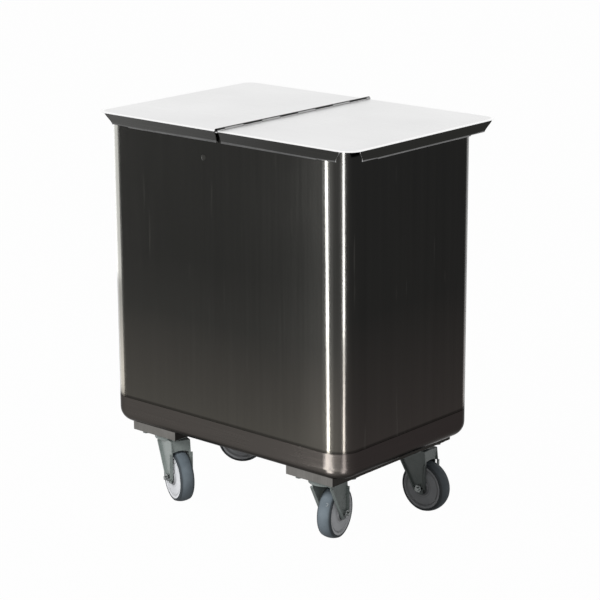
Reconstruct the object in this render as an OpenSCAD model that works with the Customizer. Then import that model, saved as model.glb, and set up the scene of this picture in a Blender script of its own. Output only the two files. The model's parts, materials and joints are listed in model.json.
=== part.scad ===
// Rolling flour bin: a folded steel tub on four swivel casters, under a lay-on lid that folds at its middle.
// Millimetres, +Z up. The origin is on the floor under the middle of the lid, and the front faces -Y.

/* [Tub] */
// Length of the tub, left to right
tub_l = 600; // [540:1:700]
// Depth of the tub, front to back
tub_w = 400; // [380:1:480]
// Height of the wall above the seam
tub_h = 563; // [400:1:640]
// Outer radius of the upright corners
tub_corner_r = 46; // [40:1:70]
// Thickness of the tub's sheet
tub_t = 1.5; // [1.2:0.1:2]
// Depth of the fold along the rim
rim_fold = 10; // [6:1:16]

/* [Base pan] */
// Height of the pan from its underside up to the seam
pan_h = 56; // [46:1:80]
// Outer radius of the pan's bottom edge
pan_edge_r = 28; // [18:1:36]
// Height of the lip that laps inside the wall
lap_h = 14; // [8:1:24]
// Gap between the lip and the wall that it laps
lap_fit = 0.1; // [0.05:0.05:0.3]
// Width of the groove that shows along the seam
seam_groove = 0.8; // [0.5:0.1:1.2]

/* [Rails] */
// How far a rail's ends are set back from the tub's front and back
rail_setback = 22; // [18:1:30]
// Width of a caster rail
rail_w = 114; // [112:1:120]
// Height of a caster rail
rail_h = 17; // [14:1:30]
// Thickness of a rail's sheet
rail_t = 2.5; // [2:0.5:3]
// How far a rail's middle is set in from the tub's end
rail_inset = 98; // [91:1:130]

/* [Lid] */
// How far the lid hangs over the tub's ends
lid_over_x = 20; // [18:1:30]
// How far the lid hangs over the tub's front and back
lid_over_y = 20; // [18:1:30]
// Thickness of the lid's sheet
lid_t = 1.5; // [1.2:0.1:2]
// Radius of the lid's corners
lid_corner_r = 30; // [20:1:45]
// Height of the lid's skirt
skirt_h = 22.4; // [18:0.1:30]
// How far the skirt leans in at its bottom edge
skirt_lean = 7.2; // [3:0.1:9]
// How far the skirt's outer ends are cut back at the bottom
skirt_relief = 14; // [6:1:20]
// Radius of the rolled hem along the skirt's bottom edge
hem_r = 1.8; // [1.6:0.1:2.2]
// Length of the skirt's outer end that has no hem
hem_stop = 58; // [30:1:80]
// Gap between the hinge leaves and the rim that they lie on
lid_rest_gap = 0.4; // [0.3:0.1:0.8]
// Gap left between the hem and the tub where the lid is pushed up to it, at the front and left
lid_push_gap = 1.2; // [0.8:0.1:5]

/* [Hinge] */
// Width of a hinge leaf, from the pin's axis
leaf_w = 28; // [18:1:40]
// Thickness of a hinge leaf
leaf_t = 2.2; // [1.5:0.1:2.5]
// Height of the pin's axis above the lid
hinge_rise = 0.3; // [0.3:0.1:2]
// Diameter of the hinge pin
pin_d = 4; // [3:0.1:4.4]
// How far the pin stands out of the hinge at each end
pin_stand = 1.5; // [1:0.5:4]
// Radial clearance of the pin in the knuckles
pin_fit = 0.08; // [0.05:0.01:0.1]
// Length of a knuckle with its gap
knuckle_pitch = 51; // [40:1:70]
// Length of the first knuckle, which is cut short at the front
knuckle_first = 20; // [12:1:36]
// Gap between neighbouring knuckles, and round them
knuckle_gap = 0.8; // [0.5:0.1:1.2]

/* [Casters] */
// Height from the floor to the top of a caster's plate
caster_h = 138; // [134:1:150]
// How far a caster's swivel is set in from the rail's end
caster_setback = 48.5; // [46:0.5:60]
// How far the wheel trails behind the swivel
trail = 36; // [28:1:40]
// How far a caster's top plate is set in from the rail's sides
plate_inset = 4.5; // [3:0.5:6]
// Width of a caster's top plate, front to back
plate_w = 85; // [80:1:90]
// Thickness of a caster's top plate
plate_t = 3; // [2.5:0.1:4]
// How far the bolts are set in from the plate's sides
bolt_inset = 12.5; // [11.5:0.5:14]
// Diameter of the plate bolts
bolt_d = 8; // [6:0.5:8]
// Diameter of the king pin
king_d = 12; // [10:0.5:14]
// Diameter of the balls in the swivel
ball_d = 5; // [4:0.1:5.5]
// Number of balls in the swivel
balls = 20; // [12:1:24]
// Radius of the ring of balls
ball_ring_r = 24; // [22:0.5:25]
// Running clearance of the balls
ball_fit = 0.05; // [0.03:0.01:0.08]
// Thickness of the fork's sheet
fork_t = 2.5; // [2:0.1:3]
// Gap between the wheel's tread and a fork leg
wheel_room = 3; // [2.5:0.1:5]
// How far a fork leg reaches behind the swivel, at the crown
leg_behind = 20; // [12:1:24]
// How far a fork leg reaches past the axle, at the crown
leg_ahead = 11; // [8:1:15]
// Width of a fork leg round the axle
leg_end_w = 26; // [22:1:30]
// Depth of the crown's front lip at its ends
lip_h = 25; // [16:1:26]
// Rise of the arch along the lip's lower edge
lip_arch = 4; // [2:0.5:6]
// Turn of the front left caster, as it stands
front_left_turn = -24; // [-180:1:180]
// Turn of the front right caster, as it stands
front_right_turn = 103; // [-180:1:180]
// Turn of the rear left caster, as it stands
rear_left_turn = -146; // [-180:1:180]
// Turn of the rear right caster, as it stands
rear_right_turn = 1; // [-180:1:180]

/* [Wheels] */
// Diameter of a wheel over its tyre
wheel_d = 102; // [90:1:104]
// Width of a wheel's tread
wheel_w = 30; // [26:1:34]
// Thickness of the tyre
tyre_t = 7; // [6:0.5:9]
// How much lower the tread's edges are than its middle
tread_crown = 3.5; // [2:0.5:4]
// Radius of the tyre's shoulders
shoulder_r = 8; // [5:0.5:9]
// Diameter of the axle bolt
axle_d = 8; // [8:0.5:11]
// Outer diameter of the sleeve that the wheel turns on
sleeve_d = 14; // [13:0.5:16]
// Outer diameter of the bush in the hub
bush_d = 22; // [19:0.5:24]
// Wall of the hub round the bush
hub_wall = 3.5; // [3:0.5:8]
// Thickness of the wheel's web
web_t = 24; // [16:0.5:25]
// Thickness of the wheel's flange under the tyre
flange_t = 5; // [3:0.5:8]
// Radial clearance of the bush on its sleeve
bush_fit = 0.06; // [0.03:0.01:0.1]
// Radial clearance of a bolt in its hole
hole_fit = 0.05; // [0.05:0.05:0.4]

/* [Hidden] */
$fn = 96;
steel = "#4a4a48";
bright = "#d9dbdc";
zinc = "#8f9690";
grey_rubber = "#6f7880";
pale_plastic = "#c9cccf";
dark_plastic = "#2b2c2e";

// Name, side, end and standing turn of each caster
CASTERS = [
    ["front_left", -1, -1, front_left_turn],
    ["front_right", 1, -1, front_right_turn],
    ["rear_left", -1, 1, rear_left_turn],
    ["rear_right", 1, 1, rear_right_turn]
];
CASTER_PARTS = ["top_plate", "ball_ring", "fork", "axle_bolt", "axle_nut", "axle_sleeve", "wheel_bush",
                "wheel_rim", "tyre"];
BIN_PARTS = ["tub_wall", "base_pan", "rail_left", "rail_right", "plate_bolts", "weld_nuts", "king_pins",
             "hinge_pin", "hinge_leaf_left", "hinge_leaf_right", "lid_left", "lid_right"];

// Heights of the stack, from the floor up
rail_z = caster_h;
pan_z = rail_z + rail_h;
seam_z = pan_z + pan_h;
rim_z = seam_z + tub_h;
knuckle_r = hinge_rise + lid_t + leaf_t;
axis_z = rim_z + lid_rest_gap + knuckle_r;

// Lid
lid_l = tub_l + 2 * lid_over_x;
lid_w = tub_w + 2 * lid_over_y;
half_l = lid_l / 2;
sheet_edge = knuckle_r + knuckle_gap;
sheet_top = -hinge_rise;
sheet_under = sheet_top - lid_t;
skirt_wall = lid_t * norm([skirt_h, skirt_lean]) / skirt_h;
hem_depth = skirt_lean + skirt_wall / 2 + hem_r;
lid_push_x = lid_over_x - hem_depth - lid_push_gap;
lid_push_y = lid_over_y - hem_depth - lid_push_gap;
hinge_end_relief = 1;
corner_lap = 3;
knuckles = ceil((lid_w - knuckle_first) / knuckle_pitch) + 1;
leaf_half = lid_w / 2 - skirt_wall - skirt_lean * (lid_t + leaf_t) / skirt_h - knuckle_gap;
leaf_root = 1;

// Tub and rails
lap_t = tub_t + lap_fit;
rail_l = tub_w - 2 * rail_setback;
caster_x = tub_l / 2 - rail_inset;
caster_y = rail_l / 2 - caster_setback;
// How far a cut runs past the face that it opens
cut = 1;

// Bolts: a hexagon's width over its corners is its width over its flats divided by cos(30)
bolt_hex = 1.625 * bolt_d / cos(30);
bolt_head = 0.66 * bolt_d;
nut_h = 0.8 * bolt_d;
axle_hex = 1.7 * axle_d / cos(30);
axle_head = 0.64 * axle_d;
axle_nut_h = 0.8 * axle_d;
axle_tip = 5;

// Caster plate
plate_l = rail_w - 2 * plate_inset;
bolt_span_x = plate_l - 2 * bolt_inset;
bolt_span_y = plate_w - 2 * bolt_inset;

// Caster stack, from the plate down
plate_z = caster_h - plate_t;
race_h = 2.5;
race_half = 5;
ball_z = plate_z - race_h - ball_fit - ball_d / 2;
crown_top = ball_z - ball_d / 2 - ball_fit;
crown_more = 1;
crown_t = fork_t + crown_more;
crown_z = crown_top - crown_t;
cup_room = 2;
cup_in = ball_ring_r + race_half + cup_room;
cup_out = cup_in + fork_t;
cup_z = plate_z - race_h;
king_head_over = 4;
king_head_r = king_d / 2 + king_head_over;
king_head_h = 4;
king_gap = 0.3;

// Fork and wheel, about the axle
axle_z = wheel_d / 2;
leg_in = wheel_w / 2 + wheel_room;
leg_out = leg_in + fork_t;
leg_end_r = leg_end_w / 2;
leg_back_drop = 14;
leg_back_step = 2;
leg_front_drop = 26;
leg_front_step = 1;
rib_w = 3;
rib_t = 4;
nut_room = 1;
rim_r = wheel_d / 2 - tyre_t;
rim_step = 1;
rim_half = wheel_w / 2 - rim_step;
hub_room = 1.5;
hub_half = leg_in - hub_room;
bush_flange_t = 0.9;
bush_flange_w = 2.5;
hub_flare = 2;
web_flare = 3;
web_swell = 1.5;

// A rectangle with round corners, centred
module rounded(l, w, r) {
    square([l - 2 * r, w], center = true);
    square([l, w - 2 * r], center = true);
    for (x = [-1, 1], y = [-1, 1])
        translate([x * (l / 2 - r), y * (w / 2 - r)]) circle(r);
}

// The tub's outline, drawn in by a distance on every side
module tub_outline(inset) {
    rounded(tub_l - 2 * inset, tub_w - 2 * inset, tub_corner_r - inset);
}

// A wall that follows the tub's outline, between two insets
module tub_ring(outer, inner, h) {
    linear_extrude(h) difference() {
        tub_outline(outer);
        tub_outline(inner);
    }
}

// Places its children about the tub's middle, off which the loose lid is pushed
module at_tub() {
    translate([-lid_push_x, -lid_push_y, 0]) children();
}

module tub_wall() {
    color(steel) at_tub() {
        translate([0, 0, seam_z]) tub_ring(0, tub_t, tub_h);
        translate([0, 0, rim_z - rim_fold]) tub_ring(tub_t, 2 * tub_t, rim_fold);
    }
}

// Half section of the pan's wall: out from the flat bottom, round the edge and up
module pan_profile() {
    flat_r = tub_corner_r - pan_edge_r;
    intersection() {
        translate([flat_r, pan_edge_r]) difference() {
            circle(pan_edge_r);
            circle(pan_edge_r - tub_t);
        }
        translate([flat_r, 0]) square(pan_edge_r);
    }
    translate([tub_corner_r - tub_t, pan_edge_r]) square([tub_t, pan_h - pan_edge_r]);
}

module base_pan() {
    corner_x = tub_l / 2 - tub_corner_r;
    corner_y = tub_w / 2 - tub_corner_r;
    color(steel) at_tub() difference() {
        translate([0, 0, pan_z]) {
            linear_extrude(tub_t) tub_outline(pan_edge_r);
            for (a = [0, 180]) rotate(a) {
                translate([corner_x, corner_y, 0]) rotate_extrude(angle = 90) pan_profile();
                translate([-corner_x, corner_y, 0]) rotate(90) rotate_extrude(angle = 90) pan_profile();
                translate([-corner_x, corner_y, 0]) rotate([90, 0, 90])
                    linear_extrude(2 * corner_x) pan_profile();
                translate([corner_x, corner_y, 0]) rotate([90, 0, 0])
                    linear_extrude(2 * corner_y) pan_profile();
            }
            translate([0, 0, pan_h - lap_t]) tub_ring(tub_t, tub_t + lap_t, lap_t);
            translate([0, 0, pan_h - lap_t]) tub_ring(lap_t, lap_t + tub_t, lap_t + lap_h);
        }
        translate([0, 0, seam_z - seam_groove]) tub_ring(-cut, seam_groove, 2 * seam_groove);
    }
}

// Places its children at the four bolts of a caster's plate
module at_plate_bolts(c) {
    for (x = [-1, 1], y = [-1, 1])
        at_caster(c) translate([x * bolt_span_x / 2, y * bolt_span_y / 2, 0]) children();
}

// A folded tray, open towards the pan, with the holes of its two casters
module rail(side) {
    color("#77756f") difference() {
        at_tub() translate([side * caster_x, 0, rail_z + rail_h / 2]) difference() {
            cube([rail_w, rail_l, rail_h], center = true);
            translate([0, 0, rail_t]) cube([rail_w - 2 * rail_t, rail_l - 2 * rail_t, rail_h], center = true);
        }
        for (c = CASTERS) if (c[1] == side)
            at_plate_bolts(c) translate([0, 0, rail_z - cut])
                cylinder(d = bolt_d + 2 * hole_fit, h = rail_t + 2 * cut);
    }
}

module rail_left() {
    rail(-1);
}

module rail_right() {
    rail(1);
}

module plate_bolts() {
    color(zinc) for (c = CASTERS) at_plate_bolts(c) {
        translate([0, 0, plate_z - bolt_head]) cylinder(d = bolt_hex, h = bolt_head, $fn = 6);
        translate([0, 0, plate_z - bolt_head]) cylinder(d = bolt_d, h = bolt_head + plate_t + rail_t + nut_h);
    }
}

module weld_nuts() {
    color(zinc) for (c = CASTERS) at_plate_bolts(c) translate([0, 0, rail_z + rail_t]) difference() {
        cylinder(d = bolt_hex, h = nut_h, $fn = 6);
        translate([0, 0, -cut]) cylinder(d = bolt_d + 2 * hole_fit, h = nut_h + 2 * cut);
    }
}

// Outline of one lid half, from the hinge out to its free end
module lid_outline(l) {
    translate([sheet_edge, -lid_w / 2]) square([l - lid_corner_r - sheet_edge, lid_w]);
    translate([sheet_edge, lid_corner_r - lid_w / 2]) square([l - sheet_edge, lid_w - 2 * lid_corner_r]);
    for (y = [-1, 1])
        translate([l - lid_corner_r, y * (lid_w / 2 - lid_corner_r)]) circle(lid_corner_r);
}

// Section of a skirt: the first axis runs in from the lid's edge and the second runs up
module skirt_profile() {
    start = lid_t / 2;
    inset = skirt_lean * start / skirt_h;
    polygon([[inset, -start], [skirt_lean, -skirt_h], [skirt_lean + skirt_wall, -skirt_h],
             [inset + skirt_wall, -start]]);
}

// The easing of a skirt's cut end, from 0 at the top to 1 at the bottom
function ease(t) = t * t * (3 - 2 * t);

// Points of a cut end that starts at u and moves back by a relief, from the top down
function cut_end(u, relief) = [for (t = [0 : 0.125 : 1]) [u - relief * ease(t), -t * skirt_h]];

function reversed(list) = [for (i = [len(list) - 1 : -1 : 0]) list[i]];

// A skirt that runs from u0 to u1 along the first axis, with its outer face at the second axis's zero
module skirt(u0, relief0, u1, relief1, hem0, hem1) {
    intersection() {
        translate([u0, 0, 0]) rotate([90, 0, 90]) linear_extrude(u1 - u0) skirt_profile();
        translate([0, skirt_lean + 2 * skirt_wall, 0]) rotate([90, 0, 0])
            linear_extrude(skirt_lean + 3 * skirt_wall)
                polygon(concat(cut_end(u1, relief1), reversed(cut_end(u0, -relief0))));
    }
    translate([hem0, skirt_lean + skirt_wall / 2, -skirt_h]) rotate([0, 90, 0])
        cylinder(r = hem_r, h = hem1 - hem0);
}

// One lid half about the pin's axis, with its free end along +X
module lid_half(l) {
    end_cut = lid_corner_r - corner_lap;
    half_w = lid_w / 2;
    color(bright) {
        translate([0, 0, sheet_under]) linear_extrude(lid_t) lid_outline(l);
        translate([0, 0, sheet_top]) {
            for (s = [0, 1]) mirror([0, s, 0]) translate([0, -half_w, 0])
                skirt(sheet_edge, hinge_end_relief, l - end_cut, skirt_relief,
                      sheet_edge + hinge_end_relief, l - end_cut - hem_stop);
            translate([l, 0, 0]) rotate(90)
                skirt(end_cut - half_w, skirt_relief, half_w - end_cut, skirt_relief,
                      end_cut + hem_stop - half_w, half_w - end_cut - hem_stop);
        }
    }
}

// Places a lid half's children at the hinge: side 1 is the right half, side -1 the left one
module at_hinge(side) {
    translate([0, 0, axis_z]) mirror([side > 0 ? 0 : 1, 0, 0]) children();
}

module lid_left() {
    at_hinge(-1) lid_half(half_l);
}

module lid_right() {
    at_hinge(1) lid_half(half_l);
}

// A leaf about the pin's axis, carrying every second knuckle from the first one given
module hinge_leaf(first) {
    color("#9a9c9d") difference() {
        union() {
            translate([sheet_edge, -leaf_half, -knuckle_r])
                cube([leaf_w - sheet_edge, 2 * leaf_half, leaf_t]);
            for (i = [first : 2 : knuckles - 1]) {
                edge = knuckle_first + (i - 1) * knuckle_pitch - lid_w / 2;
                start = max(edge, -lid_w / 2) + knuckle_gap / 2;
                end = min(edge + knuckle_pitch, lid_w / 2) - knuckle_gap / 2;
                root = max(start, -leaf_half);
                translate([0, start, 0]) rotate([-90, 0, 0]) cylinder(r = knuckle_r, h = end - start);
                translate([leaf_root, root, -knuckle_r])
                    cube([leaf_w / 2, min(end, leaf_half) - root, leaf_t]);
            }
        }
        rotate([90, 0, 0]) cylinder(d = pin_d + 2 * pin_fit, h = lid_w + 2 * cut, center = true);
    }
}

module hinge_leaf_left() {
    at_hinge(-1) hinge_leaf(1);
}

module hinge_leaf_right() {
    at_hinge(1) hinge_leaf(0);
}

module hinge_pin() {
    color(zinc) translate([0, 0, axis_z]) rotate([90, 0, 0])
        cylinder(d = pin_d, h = lid_w + 2 * pin_stand, center = true);
}

// Places its children at a caster's swivel axis, without or with the caster's standing turn
module at_caster(c) {
    at_tub() translate([c[1] * caster_x, c[2] * caster_y, 0]) children();
}

module at_swivel(c) {
    at_caster(c) rotate(c[3]) children();
}

// Places its children at a wheel's middle, with the axle along Z
module at_axle(c) {
    at_swivel(c) translate([trail, 0, axle_z]) rotate([-90, 0, 0]) children();
}

// A round tube about Z, centred
module tube(d_out, d_in, h) {
    difference() {
        cylinder(d = d_out, h = h, center = true);
        cylinder(d = d_in, h = h + 2 * cut, center = true);
    }
}

module top_plate(c) {
    plate_corner_r = 8;
    color(zinc) difference() {
        at_caster(c) {
            translate([0, 0, plate_z]) linear_extrude(plate_t) rounded(plate_l, plate_w, plate_corner_r);
            translate([0, 0, plate_z - race_h])
                cylinder(r = ball_ring_r + race_half, h = race_h + plate_t / 2);
        }
        at_caster(c) translate([0, 0, plate_z - race_h - cut])
            cylinder(d = king_d + 2 * hole_fit, h = race_h + plate_t + 2 * cut);
        at_plate_bolts(c) translate([0, 0, plate_z - cut])
            cylinder(d = bolt_d + 2 * hole_fit, h = plate_t + 2 * cut);
    }
}

module king_pins() {
    color(zinc) for (c = CASTERS) at_caster(c) {
        translate([0, 0, crown_z - king_gap - king_head_h]) cylinder(r = king_head_r, h = king_head_h);
        translate([0, 0, crown_z - king_gap - king_head_h])
            cylinder(d = king_d, h = caster_h - crown_z + king_gap + king_head_h);
    }
}

module ball_ring(c) {
    color("#b9bcc0") at_caster(c) for (i = [0 : balls - 1])
        rotate(i * 360 / balls) translate([ball_ring_r, 0, ball_z]) sphere(d = ball_d, $fn = 32);
}

// Where a line from p touches a circle of radius r about centre, on the given side
function touch_point(p, centre, r, side) =
    let (d = p - centre, a = atan2(d.y, d.x) + side * acos(r / norm(d))) centre + r * [cos(a), sin(a)];

// Corners of a fork leg in the wheel's plane, from the swivel axis and the floor
leg_axle = [trail, axle_z];
leg_back_top = [-leg_behind, crown_top];
leg_back = [leg_back_step - leg_behind, crown_top - leg_back_drop];
leg_front_top = [trail + leg_ahead, crown_top];
leg_front = [trail + leg_end_r + leg_front_step, crown_top - leg_front_drop];
leg_front_touch = touch_point(leg_front, leg_axle, leg_end_r, -1);
leg_back_touch = touch_point(leg_back, leg_axle, leg_end_r, 1);

module leg_outline() {
    polygon([leg_back_top, leg_front_top, leg_front, leg_front_touch, leg_back_touch, leg_back]);
    translate(leg_axle) circle(leg_end_r);
}

// A folded rib along the edge of a leg from a to b, lying on the edge's right-hand side
module edge_rib(a, b) {
    along = (b - a) / norm(b - a);
    inward = rib_w * [along.y, -along.x];
    polygon([a, b, b + inward, a + inward]);
}

module fork_leg() {
    linear_extrude(fork_t) leg_outline();
    translate([0, 0, fork_t / 2]) linear_extrude(fork_t / 2 + rib_t) difference() {
        union() {
            edge_rib(leg_back_touch, leg_back);
            edge_rib(leg_front, leg_front_touch);
        }
        translate(leg_axle) circle(axle_hex / 2 + nut_room);
    }
}

module fork(c) {
    front_x = leg_front_top.x;
    arch_r = (pow(leg_in, 2) + pow(lip_arch, 2)) / (2 * lip_arch);
    color(zinc) at_swivel(c) difference() {
        union() {
            translate([0, 0, crown_z]) cylinder(r = cup_out, h = crown_t);
            translate([0, 0, crown_z]) difference() {
                cylinder(r = cup_out, h = cup_z - crown_z);
                cylinder(r = cup_in, h = cup_z - crown_z + cut);
            }
            translate([0, -leg_out, crown_z]) cube([front_x, 2 * leg_out, crown_t]);
            translate([front_x - fork_t, -leg_out, crown_top - lip_h]) cube([fork_t, 2 * leg_out, lip_h]);
            translate([0, -leg_in, 0]) rotate([90, 0, 0]) fork_leg();
            mirror([0, 1, 0]) translate([0, -leg_in, 0]) rotate([90, 0, 0]) fork_leg();
        }
        translate([front_x - fork_t - cut, 0, crown_top - lip_h + lip_arch - arch_r]) rotate([0, 90, 0])
            cylinder(r = arch_r, h = fork_t + 2 * cut);
        translate([0, 0, crown_z - cut]) cylinder(d = king_d + 2 * hole_fit, h = crown_t + 2 * cut);
        translate([trail, 0, axle_z]) rotate([90, 0, 0])
            cylinder(d = axle_d + 2 * hole_fit, h = 4 * leg_out, center = true);
    }
}

module axle_bolt(c) {
    color(zinc) at_axle(c) {
        translate([0, 0, leg_out]) cylinder(d = axle_hex, h = axle_head, $fn = 6);
        translate([0, 0, -leg_out - axle_nut_h - axle_tip])
            cylinder(d = axle_d, h = 2 * leg_out + axle_nut_h + axle_tip + axle_head / 2);
    }
}

module axle_nut(c) {
    color(zinc) at_axle(c) translate([0, 0, -leg_out - axle_nut_h]) difference() {
        cylinder(d = axle_hex, h = axle_nut_h, $fn = 6);
        translate([0, 0, -cut]) cylinder(d = axle_d + 2 * hole_fit, h = axle_nut_h + 2 * cut);
    }
}

module axle_sleeve(c) {
    color("#b9bcc0") at_axle(c) tube(sleeve_d, axle_d + 2 * hole_fit, 2 * leg_in);
}

module wheel_bush(c) {
    color(dark_plastic) at_axle(c) difference() {
        union() {
            cylinder(d = bush_d, h = 2 * hub_half, center = true);
            for (s = [-1, 1]) translate([0, 0, s * (hub_half + bush_flange_t / 2)])
                cylinder(d = bush_d + 2 * bush_flange_w, h = bush_flange_t, center = true);
        }
        cylinder(d = sleeve_d + 2 * bush_fit, h = 4 * hub_half, center = true);
    }
}

// Half section of the wheel's centre: hub, dished web and outer flange
module rim_profile() {
    hub_r = bush_d / 2 + hub_wall;
    flange_r = rim_r - flange_t;
    half = [[bush_d / 2, hub_half], [hub_r, hub_half], [hub_r + hub_flare, web_t / 2 + web_swell],
            [flange_r - web_flare, web_t / 2], [flange_r, rim_half], [rim_r, rim_half]];
    polygon(concat(half, [for (p = reversed(half)) [p.x, -p.y]]));
}

module wheel_rim(c) {
    color(pale_plastic) at_axle(c) rotate_extrude() rim_profile();
}

// Half section of the tyre, with a crowned tread and round shoulders
module tyre_profile() {
    r = wheel_d / 2;
    crown_r = (pow(wheel_w / 2, 2) + pow(tread_crown, 2)) / (2 * tread_crown);
    intersection() {
        translate([r - crown_r, 0]) circle(crown_r);
        translate([r - wheel_w / 2, 0]) rounded(wheel_w, wheel_w, shoulder_r);
        translate([rim_r, -wheel_w / 2]) square([tyre_t, wheel_w]);
    }
}

module tyre(c) {
    color(grey_rubber) at_axle(c) rotate_extrude() tyre_profile();
}

tub_wall();
base_pan();
rail_left();
rail_right();
plate_bolts();
weld_nuts();
king_pins();
hinge_pin();
hinge_leaf_left();
hinge_leaf_right();
lid_left();
lid_right();
for (c = CASTERS) {
    top_plate(c);
    ball_ring(c);
    fork(c);
    axle_bolt(c);
    axle_nut(c);
    axle_sleeve(c);
    wheel_bush(c);
    wheel_rim(c);
    tyre(c);
}
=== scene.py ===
import json
import math

import bmesh
import bpy
from mathutils import Matrix, Vector


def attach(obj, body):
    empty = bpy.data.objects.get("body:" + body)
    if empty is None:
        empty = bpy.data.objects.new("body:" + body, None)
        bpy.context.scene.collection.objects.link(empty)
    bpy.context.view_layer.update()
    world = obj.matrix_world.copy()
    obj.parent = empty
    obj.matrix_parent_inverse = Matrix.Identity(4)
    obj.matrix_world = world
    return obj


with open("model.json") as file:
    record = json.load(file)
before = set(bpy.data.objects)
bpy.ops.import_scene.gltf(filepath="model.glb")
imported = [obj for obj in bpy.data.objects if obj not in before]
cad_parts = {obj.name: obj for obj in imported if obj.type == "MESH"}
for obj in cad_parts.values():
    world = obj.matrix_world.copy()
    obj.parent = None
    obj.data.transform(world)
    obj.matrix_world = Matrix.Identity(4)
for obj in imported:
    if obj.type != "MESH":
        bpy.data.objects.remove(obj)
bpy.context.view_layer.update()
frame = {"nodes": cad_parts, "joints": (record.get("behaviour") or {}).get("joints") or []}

nodes = frame["nodes"]
axles = {
    joint["name"].removesuffix("_roll"): joint
    for joint in frame["joints"]
    if joint["name"].endswith("_roll")
}
scene = bpy.context.scene
scene.view_settings.view_transform = "Standard"

FRONT_CORNERS = ("front_left", "front_right")
REAR_CORNERS = ("rear_left", "rear_right")

# Sizes and heights of the part, in metres
TUB_L = 0.6
TUB_W = 0.4
CORNER_R = 0.046
CORNER_X = TUB_L / 2 - CORNER_R
CORNER_Y = TUB_W / 2 - CORNER_R
PAN_BEND_Z = 0.183
SEAM_Z = 0.211
RIM_Z = 0.774
LID_L = 0.64
LID_W = 0.44
LID_R = 0.03
AXIS_Z = 0.7784
HINGE_RISE = 0.0003
SHEET_TOP = AXIS_Z - HINGE_RISE
SHEET_T = 0.0015
SKIRT_H = 0.0224
HEM_R = 0.0018
WHEEL_R = 0.051
WHEEL_HALF_W = 0.015
# The lid's middle is at the origin, and the tub's middle lies this far left of it and in front of it
PUSH = 0.009


# Camera: it looks at TARGET from a bearing right of the front, as the photograph does
AZIMUTH = math.radians(41.179)
ELEVATION = math.radians(15.37)
ROLL = math.radians(-0.27)
DISTANCE = 3.903678
TARGET = Vector((0.193265, -0.210405, 0.4907))
FOCAL_PIXELS = 2162.294
IMAGE_PIXELS = 600
SENSOR_MM = 36
CLIP_END = 100


def add_camera():
    level = math.cos(ELEVATION)
    back = Vector((math.sin(AZIMUTH) * level, -math.cos(AZIMUTH) * level, math.sin(ELEVATION)))
    right = Vector((math.cos(AZIMUTH), math.sin(AZIMUTH), 0))
    up = back.cross(right)
    rolled_right = right * math.cos(ROLL) + up * math.sin(ROLL)
    rolled_up = up * math.cos(ROLL) - right * math.sin(ROLL)
    data = bpy.data.cameras.new("camera")
    data.sensor_width = SENSOR_MM
    data.lens = FOCAL_PIXELS * SENSOR_MM / IMAGE_PIXELS
    data.clip_end = CLIP_END
    camera = bpy.data.objects.new("camera", data)
    turn = Matrix((rolled_right, rolled_up, back)).transposed().to_4x4()
    camera.matrix_world = Matrix.Translation(TARGET + back * DISTANCE) @ turn
    scene.collection.objects.link(camera)
    scene.camera = camera


def grey(level):
    return (level, level, level)


WHITE = (1, 1, 1, 1)
# Depth of every bump, in metres
GRAIN_DEPTH = 0.0002
# How far a surface's normal leans to the left or right before it takes the painted shade of the ends
END_FROM = 0.55


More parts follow.
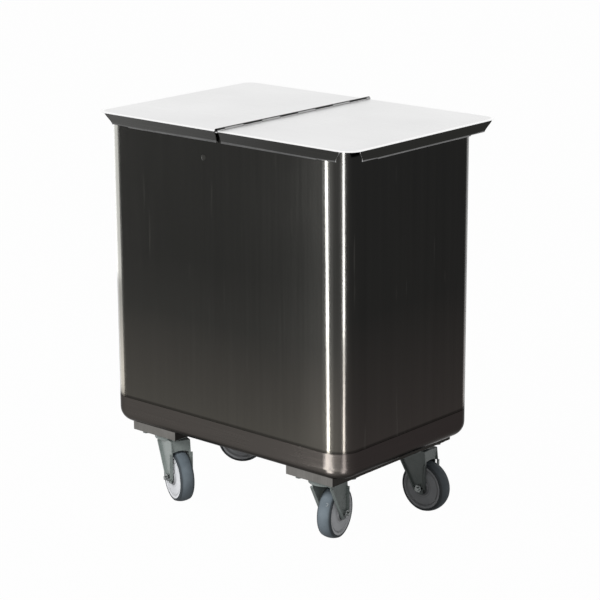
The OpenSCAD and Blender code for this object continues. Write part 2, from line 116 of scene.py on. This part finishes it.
class Nodes:
    """A node tree with short calls for the nodes that the materials share."""

    def __init__(self, tree):
        self.tree = tree
        self.coords = None

    def new(self, kind, **values):
        node = self.tree.nodes.new(kind)
        for key, value in values.items():
            setattr(node, key, value)
        return node

    def link(self, source, target):
        self.tree.links.new(source, target)

    def put(self, socket, value):
        if isinstance(value, bpy.types.NodeSocket):
            self.link(value, socket)
        else:
            socket.default_value = value

    def coordinate(self, kind):
        if self.coords is None:
            self.coords = self.new("ShaderNodeTexCoord")
        return self.coords.outputs[kind]

    def position(self):
        return self.coordinate("Object")

    def component(self, vector, axis):
        split = self.new("ShaderNodeSeparateXYZ")
        self.link(vector, split.inputs[0])
        return split.outputs[axis]

    def along(self, axis):
        return self.component(self.position(), axis)

    def math(self, operation, a, b=0.0):
        node = self.new("ShaderNodeMath", operation=operation)
        self.put(node.inputs[0], a)
        self.put(node.inputs[1], b)
        return node.outputs[0]

    def vector(self, operation, a, b=(0, 0, 0)):
        node = self.new("ShaderNodeVectorMath", operation=operation)
        self.put(node.inputs[0], a)
        self.put(node.inputs[1], b)
        return node.outputs["Value" if operation in ("LENGTH", "DOT_PRODUCT") else "Vector"]

    def noise(self, scale, detail, rough, stretch=(1, 1, 1)):
        mapping = self.new("ShaderNodeMapping")
        mapping.inputs["Scale"].default_value = stretch
        self.link(self.position(), mapping.inputs["Vector"])
        node = self.new("ShaderNodeTexNoise")
        self.link(mapping.outputs[0], node.inputs["Vector"])
        node.inputs["Scale"].default_value = scale
        node.inputs["Detail"].default_value = detail
        node.inputs["Roughness"].default_value = rough
        return node.outputs["Fac"]

    def span(self, value, low, high, to_low=0.0, to_high=1.0):
        node = self.new("ShaderNodeMapRange")
        self.put(node.inputs["Value"], value)
        node.inputs["From Min"].default_value = low
        node.inputs["From Max"].default_value = high
        node.inputs["To Min"].default_value = to_low
        node.inputs["To Max"].default_value = to_high
        return node.outputs["Result"]

    def fine(self, grain, low, high):
        """A value that follows a fine grain."""
        return self.span(grain, 0.2, 0.8, low, high)

    def broad(self, cloud, low, high):
        """A value that follows a broad cloud."""
        return self.span(cloud, 0.3, 0.7, low, high)

    def ramp(self, value, stops):
        node = self.new("ShaderNodeValToRGB")
        band = node.color_ramp
        while len(band.elements) < len(stops):
            band.elements.new(0.5)
        for element, (place, colour) in zip(band.elements, stops):
            element.position = place
            element.color = (*colour, 1)
        self.put(node.inputs["Fac"], value)
        return node.outputs["Color"]

    def mix(self, factor, a, b, blend="MIX"):
        node = self.new("ShaderNodeMix", data_type="RGBA", blend_type=blend)
        self.put(node.inputs["Factor"], factor)
        for key, colour in (("A", a), ("B", b)):
            self.put(node.inputs[key], colour if isinstance(colour, bpy.types.NodeSocket) else (*colour, 1))
        return node.outputs["Result"]

    def clouded(self, cloud, dark, light):
        """A tone between a dark and a light one, by a broad cloud."""
        return self.ramp(cloud, ((0.3, dark), (0.7, light)))

    def rubbed(self, tone, grain, low):
        """A tone that a fine grain darkens, down to low times itself."""
        shade = self.ramp(grain, ((0.25, grey(low)), (0.75, grey(1.0))))
        return self.mix(1.0, tone, shade, "MULTIPLY")

    def outside(self, length, width):
        """Distance outside a rectangle about the origin, seen from above."""
        flat = self.vector("MULTIPLY", self.vector("ABSOLUTE", self.position()), (1, 1, 0))
        beyond = self.vector("SUBTRACT", flat, (length / 2, width / 2, 0))
        return self.vector("LENGTH", self.vector("MAXIMUM", beyond, (0, 0, 0)))

    def from_axle(self, axle):
        """Distance from an axle's line."""
        offset = self.vector("SUBTRACT", self.position(), axle["pos_m"])
        return self.vector("LENGTH", self.vector("CROSS_PRODUCT", offset, axle["axis"]))

    def from_wheel_middle(self, axle):
        """Distance along an axle's line from the wheel's middle."""
        offset = self.vector("SUBTRACT", self.position(), axle["pos_m"])
        return self.math("ABSOLUTE", self.vector("DOT_PRODUCT", offset, axle["axis"]))

    def facing_end(self):
        """1 where the surface faces left or right, 0 where it faces the front or back: the mask of the
        painted shade on the ends.
        """
        sideways = self.component(self.coordinate("Normal"), "X")
        return self.span(self.math("ABSOLUTE", sideways), END_FROM, 1.0)

    def bump(self, height, strength, edge=0.0):
        """Relief from a height, and edges that look rounded by a radius."""
        node = self.new("ShaderNodeBump")
        node.inputs["Strength"].default_value = strength
        node.inputs["Distance"].default_value = GRAIN_DEPTH
        self.put(node.inputs["Height"], height)
        if edge:
            bevel = self.new("ShaderNodeBevel", samples=4)
            bevel.inputs["Radius"].default_value = edge
            self.link(bevel.outputs[0], node.inputs["Normal"])
        return node.outputs[0]


def material(name):
    made = bpy.data.materials.new(name)
    made.use_nodes = True
    kit = Nodes(made.node_tree)
    return made, kit, made.node_tree.nodes["Principled BSDF"]


# Steel seen along its surface stays dark by this tint, up to the last few degrees
GRAZING_TINT = (0.5, 0.5, 0.5, 1)


def set_surface(kit, shader, tone, rough, relief, metal=1.0, tinted=False):
    kit.link(tone, shader.inputs["Base Color"])
    kit.link(rough, shader.inputs["Roughness"])
    kit.link(relief, shader.inputs["Normal"])
    shader.inputs["Metallic"].default_value = metal
    if tinted:
        shader.inputs["Specular Tint"].default_value = GRAZING_TINT


# Tones of the tub's wall from its seam, 0, to its rim, 1, all painted: a dark painted reflection, lighter and
# warmer towards the foot, and darker on the ends as painted shade; and the darker band just above the seam
WALL_FRONT = (
    (0.0, (0.066, 0.062, 0.054)),
    (0.16, (0.050, 0.047, 0.042)),
    (0.35, (0.031, 0.0304, 0.028)),
    (0.55, (0.024, 0.0238, 0.0222)),
    (1.0, (0.0245, 0.0243, 0.0228)),
)
WALL_END = (
    (0.0, (0.033, 0.0285, 0.0265)),
    (0.45, (0.0155, 0.0152, 0.0145)),
    (1.0, (0.0147, 0.0147, 0.0143)),
)
WALL_STREAK = (0.040, 0.039, 0.036)
WALL_SCRATCH = (0.060, 0.058, 0.053)
SEAM_BAND = 0.008
SEAM_SHADE = ((0.0, grey(0.48)), (0.35, grey(0.48)), (0.75, grey(1.0)))


# Steel of the tub's wall, with an upright grain; its dark tone, warmer and lighter towards its foot and
# darker on its ends, is painted reflection and shade
def wall_steel():
    made, kit, shader = material("brushed_wall_steel")
    grain = kit.noise(1.0, 4.0, 0.62, (620, 620, 4))
    streak = kit.noise(1.0, 3.0, 0.55, (60, 60, 0.9))
    scratch = kit.noise(1.0, 2.0, 0.4, (130, 130, 7))
    cloud = kit.noise(5.0, 2.0, 0.5)
    level = kit.span(kit.along("Z"), SEAM_Z, RIM_Z)
    # Painted reflection and shade: a dark tone that lightens towards the foot, darker again on the ends
    tone = kit.mix(kit.facing_end(), kit.ramp(level, WALL_FRONT), kit.ramp(level, WALL_END))
    seam = kit.ramp(kit.span(kit.along("Z"), SEAM_Z, SEAM_Z + SEAM_BAND), SEAM_SHADE)
    tone = kit.mix(1.0, tone, seam, "MULTIPLY")
    tone = kit.mix(kit.broad(streak, 0.0, 0.05), tone, WALL_STREAK, "SCREEN")
    tone = kit.mix(kit.span(scratch, 0.70, 0.78, 0.0, 0.35), tone, WALL_SCRATCH)
    tone = kit.rubbed(tone, grain, 0.90)
    rough = kit.math("ADD", kit.fine(grain, 0.14, 0.22), kit.broad(cloud, -0.01, 0.03))
    set_surface(kit, shader, tone, rough, kit.bump(grain, 0.05), tinted=True)
    return made


# Painted reflection and shade: the pan's dark front tone and its darker ends
PAN_FRONT = (0.077, 0.0695, 0.0635)
PAN_END = (0.0306, 0.0255, 0.0245)


# Steel of the base pan: the wall's foot colour, rubbed round the bin, so that its corners shine wide and
# soft; its dark tone, darker on its ends, is painted reflection and shade
def pan_steel():
    made, kit, shader = material("rubbed_pan_steel")
    grain = kit.noise(1.0, 4.0, 0.62, (7, 7, 560))
    cloud = kit.noise(9.0, 3.0, 0.55)
    # Painted shade darkens the ends
    tone = kit.rubbed(kit.mix(kit.facing_end(), PAN_FRONT, PAN_END), grain, 0.84)
    rough = kit.math("ADD", kit.fine(grain, 0.20, 0.28), kit.broad(cloud, -0.02, 0.04))
    set_surface(kit, shader, tone, rough, kit.bump(grain, 0.10), tinted=True)
    return made


LID_DARK = grey(0.76)
LID_LIGHT = grey(0.84)
LID_GRAIN = grey(0.66)
LID_SCUFF = grey(0.55)
# Colour of the painted highlight along the lid's bent edge
LID_EDGE_HIGHLIGHT = grey(0.97)
# A painted highlight along the lid's bend begins and ends this far inside the sheet's outline
HIGHLIGHT_BEGINS = 0.008
HIGHLIGHT_ENDS = 0.005


# Bright satin sheet of the lid's top, with a painted highlight along its bent edge
def lid_steel():
    made, kit, shader = material("satin_lid_steel")
    grain = kit.noise(1.0, 4.0, 0.6, (6, 640, 640))
    cloud = kit.noise(4.0, 2.0, 0.5)
    scuff = kit.noise(38.0, 5.0, 0.7, (0.5, 1, 1))
    tone = kit.clouded(cloud, LID_DARK, LID_LIGHT)
    tone = kit.mix(kit.span(grain, 0.25, 0.75, 0.0, 0.22), tone, LID_GRAIN)
    tone = kit.mix(kit.span(scuff, 0.66, 0.8, 0.0, 0.10), tone, LID_SCUFF)
    outside = kit.outside(LID_L - 2 * LID_R, LID_W - 2 * LID_R)
    # Painted highlight, near white, along the bent edge
    tone = kit.mix(kit.span(outside, LID_R - HIGHLIGHT_BEGINS, LID_R - HIGHLIGHT_ENDS), tone, LID_EDGE_HIGHLIGHT)
    set_surface(kit, shader, tone, kit.fine(grain, 0.24, 0.38), kit.bump(grain, 0.06, 0.0006))
    return made


# Tones of the front skirts from the lid's left end, 0, to its right end, 1: painted light and shade, lighter
# to the left
SKIRT_FRONT = (
    (0.0, (0.112, 0.112, 0.109)),
    (0.2, (0.093, 0.093, 0.090)),
    (0.45, (0.074, 0.074, 0.072)),
    (0.75, (0.047, 0.047, 0.045)),
    (1.0, (0.042, 0.042, 0.040)),
)
# Painted shade of the skirts' ends
SKIRT_END = (0.0275, 0.0275, 0.0255)


# The lid's bent skirts, dark with painted shade like the tub's wall, lighter to the left along the front and
# darker on the ends
def skirt_steel():
    made, kit, shader = material("brushed_skirt_steel")
    grain = kit.noise(1.0, 4.0, 0.6, (7, 7, 620))
    cloud = kit.noise(9.0, 2.0, 0.5)
    # Painted light and shade along the front, and darker ends
    front = kit.ramp(kit.span(kit.along("X"), -LID_L / 2, LID_L / 2), SKIRT_FRONT)
    tone = kit.rubbed(kit.mix(kit.facing_end(), front, SKIRT_END), grain, 0.84)
    rough = kit.math("ADD", kit.fine(grain, 0.20, 0.32), kit.broad(cloud, -0.02, 0.03))
    set_surface(kit, shader, tone, rough, kit.bump(grain, 0.08), tinted=True)
    return made


BARREL_TOP_SHADE = (0.012, 0.012, 0.0115)
# Height above the hinge's axis from which each leaf's barrels are dark with painted shade, and the level of
# their sides, which differs between the two leaves as painted shade
NARROW_BARREL = (0.0026, 0.42)
BROAD_BARREL = (0.0008, 0.62)
# The barrels' painted dark top fades in over a height, at a line that wanders up and down
TOP_FADE = 0.0006
TOP_WANDER = 0.0003


# Hinge barrels: painted shade along the top, from a height above the hinge's axis, and lighter along their
# sides
def barrel_steel(name, dark_from, side):
    made, kit, shader = material(name)
    grain = kit.noise(1.0, 4.0, 0.6, (500, 40, 500))
    shade_wander = kit.noise(60.0, 4.0, 0.6)
    level = kit.math("ADD", kit.along("Z"), kit.broad(shade_wander, -TOP_WANDER, TOP_WANDER))
    # Painted shade: the barrels' top is dark above a wandering line
    top = kit.span(level, AXIS_Z + dark_from, AXIS_Z + dark_from + TOP_FADE)
    tone = kit.rubbed(kit.mix(top, grey(side), BARREL_TOP_SHADE), grain, 0.84)
    set_surface(kit, shader, tone, kit.fine(grain, 0.26, 0.40), kit.bump(grain, 0.08))
    return made


# Dark and light tone of each plain metal, plastic and rubber
TONES = {
    # The hem and the cut ends are the lid's steel in painted tones: shade on the hem, a highlight on the cut
    # ends
    "hem_steel": (grey(0.13), grey(0.19)),
    "cut_edge_steel": (grey(0.50), grey(0.60)),
    "satin_rail_steel": ((0.190, 0.183, 0.172), (0.240, 0.232, 0.220)),
    "zinc_plate": ((0.135, 0.157, 0.150), (0.21, 0.235, 0.225)),
    "bright_zinc": ((0.36, 0.38, 0.375), (0.50, 0.52, 0.515)),
    "bright_bearing_steel": ((0.50, 0.51, 0.52), (0.62, 0.63, 0.64)),
    "pin_steel": (grey(0.012), grey(0.03)),
    "inside_steel": ((0.50, 0.50, 0.49), (0.60, 0.60, 0.59)),
    "weld_spot_steel": ((0.035, 0.034, 0.032), (0.055, 0.054, 0.050)),
    "dark_bush_plastic": ((0.012, 0.012, 0.013), (0.022, 0.022, 0.024)),
    "pale_wheel_plastic": ((0.50, 0.51, 0.53), (0.58, 0.59, 0.61)),
    "grey_tyre_rubber": ((0.078, 0.095, 0.108), (0.112, 0.133, 0.150)),
    "gate_mark_rubber": ((0.20, 0.22, 0.235), (0.26, 0.28, 0.295)),
}
# The rails are light at their front and back, and painted shade makes them this dark along their sides
RAIL_SIDE_SHADE = (0.030, 0.028, 0.026)


# Rubbed metal with a fine even grain and clouded tone, and painted shade on its sides where a side tone is
# given
def plain_metal(name, rough, stretch=(1, 1, 1), edge=0.0, metal=1.0, side=None):
    made, kit, shader = material(name)
    cloud = kit.noise(26.0, 4.0, 0.6)
    grain = kit.noise(420.0, 3.0, 0.6, stretch)
    tone = kit.clouded(cloud, *TONES[name])
    if side:
        # Painted shade on the sides
        tone = kit.mix(kit.facing_end(), tone, side)
    tone = kit.rubbed(tone, grain, 0.80)
    rough = kit.math("ADD", kit.fine(grain, rough - 0.06, rough + 0.06), kit.broad(cloud, -0.03, 0.05))
    set_surface(kit, shader, tone, rough, kit.bump(grain, 0.08, edge), metal, tinted=bool(side))
    return made


# Shade across a wheel's centre, from the axle out: hub, dished web with a ring, step and flange
RIM_STOPS = (
    (0.26, 0.28), (0.33, 0.50), (0.37, 0.95), (0.40, 0.70), (0.43, 0.94), (0.68, 0.94),
    (0.705, 0.60), (0.755, 0.52), (0.785, 1.0), (0.845, 1.0), (0.862, 0.45),
)
RIM_BANDS = (Nodes.from_axle, WHEEL_R, RIM_STOPS)
# Shade across a tyre, from the middle of its tread to its sides
TYRE_STOPS = ((0.0, 1.0), (0.52, 0.97), (0.70, 0.82), (0.82, 0.34), (1.0, 0.24))
TYRE_BANDS = (Nodes.from_wheel_middle, WHEEL_HALF_W, TYRE_STOPS)
# Share of its dark tone that a scuff on plastic or rubber has, and the skin's share of a banded relief
SCUFF_SHADE = 0.6
SKIN_SHARE = 0.3


# Moulded plastic or rubber: clouded tone, fine pitted skin, and on a wheel bands of shade about its axle
def moulded(name, rough, pit, edge=0.0, corner=None, bands=None):
    made, kit, shader = material(f"{name}_{corner}" if corner else name)
    dark, light = TONES[name]
    cloud = kit.noise(40.0, 4.0, 0.6)
    skin = kit.noise(1500.0, 2.0, 0.5)
    scuff = kit.noise(160.0, 5.0, 0.72)
    tone = kit.clouded(cloud, dark, light)
    tone = kit.mix(kit.span(scuff, 0.6, 0.8, 0.0, 0.25), tone, tuple(SCUFF_SHADE * k for k in dark))
    relief = skin
    if bands:
        measure, reach, stops = bands
        place = kit.span(measure(kit, axles[corner]), 0.0, reach)
        shade = kit.ramp(place, [(k, grey(level)) for k, level in stops])
        tone = kit.mix(1.0, tone, shade, "MULTIPLY")
        relief = kit.math("ADD", kit.math("MULTIPLY", skin, SKIN_SHARE), shade)
    rough = kit.math("ADD", kit.fine(skin, rough - 0.05, rough + 0.05), kit.span(scuff, 0.4, 0.8, 0.0, 0.12))
    set_surface(kit, shader, tone, rough, kit.bump(relief, pit, edge), metal=0.0)
    return made


def dress(name, *materials):
    slots = nodes[name].data.materials
    slots.clear()
    for made in materials:
        slots.append(made)


# A face belongs to the sheet or the hem within this many times its depth
DEPTH_SLACK = 1.2
# A skirt's face is a cut end where its normal leans this far along the skirt
CUT_LEAN = 0.4


# Splits a lid half's faces into its sheet, its skirts, the hem along their foot and their cut ends: lit and
# shaded copies of one steel, with painted shade on the skirts and hem and a painted highlight on the cut ends
def dress_lid(name, sheet, skirt, hem, cut):
    dress(name, sheet, skirt, hem, cut)
    for face in nodes[name].data.polygons:
        depth = SHEET_TOP - face.center.z
        on_end = abs(face.center.x) > (LID_L - LID_R) / 2
        if depth < SHEET_T * DEPTH_SLACK:
            face.material_index = 0
        elif abs(face.normal.y if on_end else face.normal.x) > CUT_LEAN:
            face.material_index = 3
        elif depth < SKIRT_H - HEM_R * DEPTH_SLACK:
            face.material_index = 1
        else:
            face.material_index = 2


# A face of the tub is an inner one where it looks towards the core by more than this
INWARD = -1e-6


# Splits the faces of the tub's wall or pan into outside and inside, by a core within its round corners
def dress_tub(name, outer, inner):
    dress(name, outer, inner)
    for face in nodes[name].data.polygons:
        centre = face.center
        core = Vector((
            min(max(centre.x, -CORNER_X - PUSH), CORNER_X - PUSH),
            min(max(centre.y, -CORNER_Y - PUSH), CORNER_Y - PUSH),
            max(centre.z, PAN_BEND_Z),
        ))
        face.material_index = 1 if face.normal.dot(centre - core) < INWARD else 0


def dress_part():
    inside = plain_metal("inside_steel", 0.34, (1, 1, 0.01), metal=0.8)
    dress_tub("tub_wall", wall_steel(), inside)
    dress_tub("base_pan", pan_steel(), inside)
    rail = plain_metal("satin_rail_steel", 0.34, (1, 1, 0.1), edge=0.0008, side=RAIL_SIDE_SHADE)
    for name in ("rail_left", "rail_right"):
        dress(name, rail)
    lid = (lid_steel(), skirt_steel(), plain_metal("hem_steel", 0.30), plain_metal("cut_edge_steel", 0.30))
    for name in ("lid_left", "lid_right"):
        dress_lid(name, *lid)
    dress("hinge_leaf_left", barrel_steel("hinge_steel_narrow", *NARROW_BARREL))
    dress("hinge_leaf_right", barrel_steel("hinge_steel_broad", *BROAD_BARREL))
    dress("hinge_pin", plain_metal("pin_steel", 0.34))
    zinc = plain_metal("zinc_plate", 0.30, edge=0.0009, metal=0.2)
    for name in ("plate_bolts", "weld_nuts", "king_pins"):
        dress(name, zinc)
    bright_zinc = plain_metal("bright_zinc", 0.22, edge=0.0009)
    bearing = plain_metal("bright_bearing_steel", 0.16)
    caster_kit = {
        "top_plate": zinc,
        "ball_ring": bearing,
        "fork": zinc,
        "axle_bolt": bright_zinc,
        "axle_nut": bright_zinc,
        "axle_sleeve": bearing,
        "wheel_bush": moulded("dark_bush_plastic", 0.45, 0.08),
    }
    for corner in FRONT_CORNERS + REAR_CORNERS:
        for piece, made in caster_kit.items():
            dress(f"{corner}_{piece}", made)
        dress(f"{corner}_wheel_rim", moulded("pale_wheel_plastic", 0.42, 0.12, 0.0008, corner, RIM_BANDS))
        dress(f"{corner}_tyre", moulded("grey_tyre_rubber", 0.66, 0.16, 0.0, corner, TYRE_BANDS))


TURN_STEPS = 40


# A closed round piece turned from a half section of (radius, height) points, standing along a normal
def turned(name, section, place, normal, body, made):
    form = bmesh.new()
    rings = []
    for radius, height in section:
        turns = [2 * math.pi * k / TURN_STEPS for k in range(TURN_STEPS if radius else 1)]
        rings.append([form.verts.new((radius * math.cos(a), radius * math.sin(a), height)) for a in turns])
    for low, high in zip(rings, rings[1:]):
        for k in range(TURN_STEPS):
            bottom = (low[k % len(low)], low[(k + 1) % len(low)])
            top = (high[(k + 1) % len(high)], high[k % len(high)])
            form.faces.new(tuple(dict.fromkeys(bottom + top)))
    bmesh.ops.recalc_face_normals(form, faces=form.faces)
    mesh = bpy.data.meshes.new(name)
    form.to_mesh(mesh)
    form.free()
    for face in mesh.polygons:
        face.use_smooth = True
    mesh.materials.append(made)
    mesh.transform(Matrix.Translation(place) @ Vector(normal).to_track_quat("Z", "Y").to_matrix().to_4x4())
    piece = bpy.data.objects.new(name, mesh)
    scene.collection.objects.link(piece)
    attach(piece, body)


# The weld's button on the front wall: its half section and its place
WELD_SECTION = (
    (0, -0.0004), (0.0055, -0.0004), (0.0058, 0.0), (0.0050, 0.0005), (0.0030, 0.0010), (0, 0.0012),
)
WELD_X = -0.0431
WELD_Z = 0.7214
# The moulding gate's ring on the front right tread: its half section, its turn about the axle,
# its place along the axle and its depth below the tread's crown
GATE_SECTION = (
    (0, -0.0008), (0.0036, -0.0008), (0.0036, 0.0), (0.0030, 0.0003), (0.0022, 0.0001), (0.0014, -0.0002),
    (0, -0.0002),
)
GATE_TURN = math.radians(146.2)
GATE_ALONG = -0.005
GATE_SINK = 0.0004


def add_marks():
    spot = plain_metal("weld_spot_steel", 0.32)
    place = Vector((WELD_X, -TUB_W / 2 - PUSH, WELD_Z))
    turned("weld_spot", WELD_SECTION, place, (0, -1, 0), "bin", spot)
    axle = axles["front_right"]
    axis = Vector(axle["axis"])
    up = Vector((0, 0, 1))
    out = axis.cross(up) * math.cos(GATE_TURN) + up * math.sin(GATE_TURN)
    gate = moulded("gate_mark_rubber", 0.6, 0.12)
    place = Vector(axle["pos_m"]) + out * (WHEEL_R - GATE_SINK) + axis * GATE_ALONG
    turned("gate_mark", GATE_SECTION, place, out, "front_right_wheel", gate)


# One shader for the camera, mirror and glass rays, and another for the rest
def seen_or_other(kit, seen, other):
    path = kit.new("ShaderNodeLightPath")
    direct = kit.math("MAXIMUM", path.outputs["Is Camera Ray"], path.outputs["Is Glossy Ray"])
    direct = kit.math("MAXIMUM", direct, path.outputs["Is Transmission Ray"])
    mix = kit.new("ShaderNodeMixShader")
    kit.link(direct, mix.inputs[0])
    kit.link(other, mix.inputs[1])
    kit.link(seen, mix.inputs[2])
    return mix.outputs[0]


# The world is white where it is seen, and lights the part at this level
WORLD_LEVEL = 0.16


def add_world():
    world = bpy.data.worlds.new("studio")
    scene.world = world
    world.use_nodes = True
    world.node_tree.nodes.clear()
    kit = Nodes(world.node_tree)
    seen = kit.new("ShaderNodeBackground")
    seen.inputs["Color"].default_value = WHITE
    other = kit.new("ShaderNodeBackground")
    other.inputs["Color"].default_value = WHITE
    other.inputs["Strength"].default_value = WORLD_LEVEL
    out = kit.new("ShaderNodeOutputWorld")
    kit.link(seen_or_other(kit, seen.outputs[0], other.outputs[0]), out.inputs["Surface"])


FLOOR_REACH = 40
FLOOR_DARK = grey(0.20)
FLOOR_LIGHT = grey(0.22)
FLOOR_ROUGH = 0.9
# Share of the floor's look that is white of its own; the rest takes the shadow
FLOOR_WHITE = 0.985
# A painted shadow in mirror rays: the floor under the tub is this bright, and white from this far outside it
NEAR_SHADOW_LEVEL = 0.40
NEAR_SHADOW_WIDTH = 0.06


def add_floor():
    mesh = bpy.data.meshes.new("floor")
    outline = [(x * FLOOR_REACH, y * FLOOR_REACH, 0) for x, y in ((-1, -1), (1, -1), (1, 1), (-1, 1))]
    mesh.from_pydata(outline, [], [(0, 1, 2, 3)])
    floor = bpy.data.objects.new("floor", mesh)
    scene.collection.objects.link(floor)
    made, kit, shader = material("pale_floor")
    kit.link(kit.clouded(kit.noise(3.0, 2.0, 0.5), FLOOR_DARK, FLOOR_LIGHT), shader.inputs["Base Color"])
    shader.inputs["Roughness"].default_value = FLOOR_ROUGH
    glow = kit.new("ShaderNodeEmission")
    glow.inputs["Color"].default_value = WHITE
    # Painted shadow under the tub, seen only in mirror rays
    near = kit.span(kit.outside(TUB_L, TUB_W), 0.0, NEAR_SHADOW_WIDTH, NEAR_SHADOW_LEVEL, 1.0)
    camera_ray = kit.new("ShaderNodeLightPath").outputs["Is Camera Ray"]
    kit.link(kit.math("MAXIMUM", camera_ray, near), glow.inputs["Strength"])
    pale = kit.new("ShaderNodeMixShader")
    pale.inputs[0].default_value = FLOOR_WHITE
    kit.link(shader.outputs[0], pale.inputs[1])
    kit.link(glow.outputs[0], pale.inputs[2])
    surface = seen_or_other(kit, pale.outputs[0], shader.outputs[0])
    kit.link(surface, made.node_tree.nodes["Material Output"].inputs["Surface"])
    mesh.materials.append(made)


# An area lamp at a place, facing a point
def add_lamp(name, place, aim, width, height, power, only_gloss=False):
    data = bpy.data.lights.new(name, "AREA")
    data.shape = "RECTANGLE"
    data.size = width
    data.size_y = height
    data.energy = power
    lamp = bpy.data.objects.new(name, data)
    lamp.location = place
    lamp.rotation_euler = (Vector(aim) - Vector(place)).to_track_quat("-Z", "Y").to_euler()
    scene.collection.objects.link(lamp)
    lamp.visible_camera = False
    lamp.visible_diffuse = not only_gloss
    lamp.visible_glossy = only_gloss
    return lamp


# A lamp that shows only in gloss, with its power from its radiance
def add_gloss_lamp(name, place, aim, width, height, radiance):
    return add_lamp(name, place, aim, width, height, math.pi * width * height * radiance, only_gloss=True)


# Keeps a lamp to some of the part's pieces
def light_only(lamp, pieces):
    lit = bpy.data.collections.new(lamp.name + "_lit")
    for piece in pieces:
        lit.objects.link(nodes[piece])
    lamp.light_linking.receiver_collection = lit


# Foot and height of a strip beside the whole wall, its upper part or its lower part
WHOLE = (0.03, 0.74)
UPPER = (0.30, 0.47)
LOWER = (0.03, 0.27)
# Distance of a strip from the middle of the corner that it shines on
NEAR_STRIP = 0.5
FAR_STRIP = 0.6


# A tall strip that shows only as a streak on the wall's round corners, at a bearing right of the front
def add_strip(name, corner, distance, bearing, width, radiance, stretch, tilt=0.0):
    foot, tall = stretch
    turn = math.radians(bearing)
    middle = foot + tall / 2
    place = (corner[0] + distance * math.sin(turn), corner[1] - distance * math.cos(turn), middle)
    lamp = add_gloss_lamp(name, place, (*corner, middle), width, tall, radiance)
    lean = Matrix.Rotation(math.radians(tilt), 3, "Z")
    lamp.rotation_euler = (lamp.rotation_euler.to_matrix() @ lean).to_euler()
    light_only(lamp, ("tub_wall",))


PANEL_Z = 0.004


# A panel that lies on the floor before a corner, along a bearing, and shows only in the base pan
def add_floor_panel(name, corner, bearing, near, far, width, radiance):
    turn = math.radians(bearing)
    out = Vector((math.sin(turn), -math.cos(turn), 0))
    down = Vector((0, 0, -1))
    place = Vector((*corner, PANEL_Z)) + out * (near + far) / 2
    lamp = add_gloss_lamp(name, place, place - down, width, far - near, radiance)
    lamp.rotation_euler = Matrix((out.cross(down), out, down)).transposed().to_euler()
    light_only(lamp, ("base_pan",))


# The lamps that light the part itself: place, aim, width, height, and power
KEY = ((-0.35, -3.8, 2.5), (0, 0, 0.3), 1.6, 1.6, 275)
CASTER_FILL = ((2.4, -2.8, 1.2), (0, -0.15, 0.05), 1.0, 1.0, 62)
# Pieces of each front caster that the fill lights
FILLED = ("fork", "wheel_rim", "tyre", "top_plate")

# Middles of the tub's round corners, seen from above
FRONT_LEFT = (-CORNER_X - PUSH, -CORNER_Y - PUSH)
FRONT_RIGHT = (CORNER_X - PUSH, -CORNER_Y - PUSH)
REAR_RIGHT = (CORNER_X - PUSH, CORNER_Y - PUSH)

# Two bright streaks on the near corner, each from an upper and a weaker lower strip, and soft light round
# them: bearing, width, radiance, stretch of the wall, and tilt
NEAR_STRIPS = {
    "streak_left_top": (-13.4, 0.075, 115, UPPER, 7),
    "streak_left_foot": (-8.2, 0.070, 60, LOWER, 7),
    "streak_right_top": (60.7, 0.055, 105, UPPER, 3),
    "streak_right_foot": (62.5, 0.045, 45, LOWER, 0),
    "streak_halo": (-12.5, 0.52, 0.9, WHOLE, 0),
    "corner_glow": (25, 0.8, 0.5, WHOLE, 0),
}
# The same streaks in the base pan: bearing, near and far end, width, and radiance
PAN_PANELS = {
    "pan_panel_left_far": (-7, 0.30, 0.75, 0.34, 14),
    "pan_panel_left_near": (-6, 0.15, 0.30, 0.10, 13),
    "pan_panel_right_far": (64, 0.30, 0.75, 0.12, 12),
    "pan_panel_right_near": (64, 0.15, 0.30, 0.06, 9),
    "pan_panel_wide": (28, 0.22, 0.75, 0.45, 1.2),
}
# Soft light down the far edge of the front: bearing, width, and radiance, which is less beside the lower wall
SIDE_STRIPS = ((-77, 0.41, 25), (-100.5, 0.137, 12), (-113, 0.126, 4), (-124, 0.105, 0.5))
LOWER_SHARE = 0.45
# Soft light down the far edge of the right end: bearing, width, radiance, and stretch of the wall
REAR_STRIP = (176, 0.25, 5, WHOLE)


def add_lights():
    add_lamp("key", *KEY)
    fill = add_lamp("caster_fill", *CASTER_FILL)
    light_only(fill, [f"{corner}_{piece}" for corner in FRONT_CORNERS for piece in FILLED])
    for name, values in NEAR_STRIPS.items():
        add_strip(name, FRONT_RIGHT, NEAR_STRIP, *values)
    for name, values in PAN_PANELS.items():
        add_floor_panel(name, FRONT_RIGHT, *values)
    for k, (bearing, width, radiance) in enumerate(SIDE_STRIPS):
        for height, stretch, share in (("top", UPPER, 1), ("foot", LOWER, LOWER_SHARE)):
            name = f"side_softbox_{height}_{k}"
            add_strip(name, FRONT_LEFT, FAR_STRIP, bearing, width, radiance * share, stretch)
    add_strip("rear_softbox", REAR_RIGHT, FAR_STRIP, *REAR_STRIP)


dress_part()
add_marks()
add_camera()
add_world()
add_floor()
add_lights()
